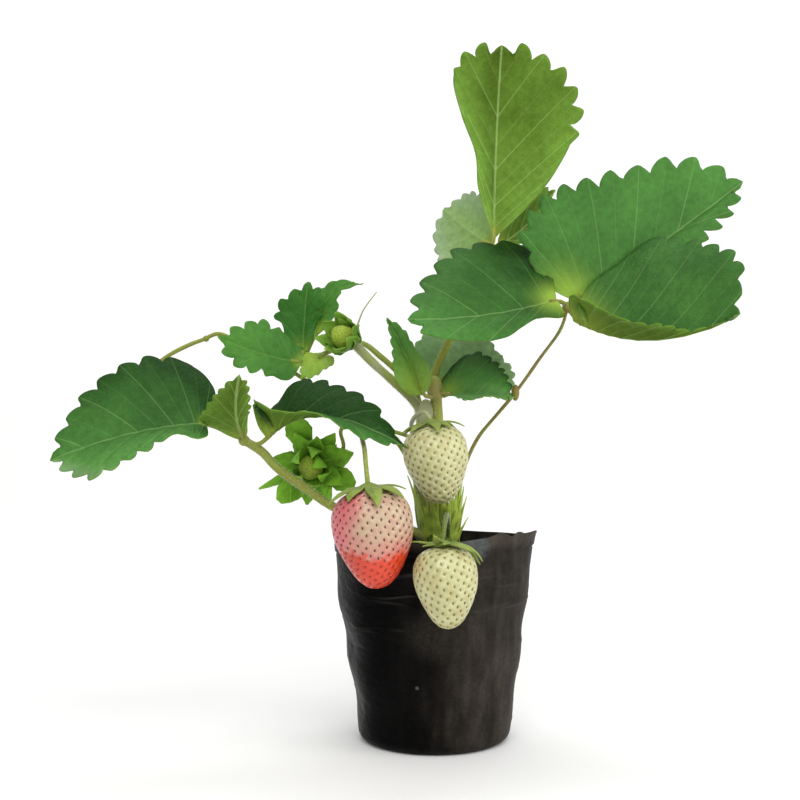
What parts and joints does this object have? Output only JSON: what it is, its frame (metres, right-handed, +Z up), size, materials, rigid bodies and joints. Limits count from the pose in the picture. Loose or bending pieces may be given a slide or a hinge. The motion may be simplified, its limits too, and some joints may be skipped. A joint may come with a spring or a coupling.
{
  "type": "potted strawberry plant",
  "caption": "Young strawberry plant with toothed three-part leaves, a runner and ripening berries, in a soft black nursery grow bag of soil.",
  "frame": {"origin": "on the ground under the middle of the grow bag, on its flat underside", "axes": "+Z up, +X to the right and +Y away from the front of the picture"},
  "size_m": [0.2841, 0.1358, 0.2922],
  "materials": {
    "nursery_film": "dusty satin black polythene film",
    "potting_mix": "rough crumbs",
    "crown_tissue": "satin",
    "leaf_green": "matt, finely hairy",
    "leaf_underside": "matt, finely hairy",
    "leaf_young": "satin",
    "stalk": "satin, hairy",
    "berry_blush": "glossy skin with seeds in pits",
    "berry_white": "glossy skin with seeds in pits",
    "young_fruit": "satin skin with seeds"
  },
  "bodies": {
    "root": {"grow_bag": "nursery_film", "soil": "potting_mix", "crown": "crown_tissue", "leaf_upper_right": "leaf_green", "leaf_upright": "leaf_underside", "leaf_middle": "leaf_green", "leaf_left": "leaf_green", "leaf_bright": "leaf_young", "truss_left": "stalk", "truss_centre": "stalk", "pedicel_lower": "stalk", "runner": "stalk", "berry_blush": "berry_blush", "berry_white_upper": "berry_white", "berry_white_lower": "berry_white", "young_fruit_upper": "young_fruit", "young_fruit_lower": "young_fruit"}
  },
  "joints": []
}
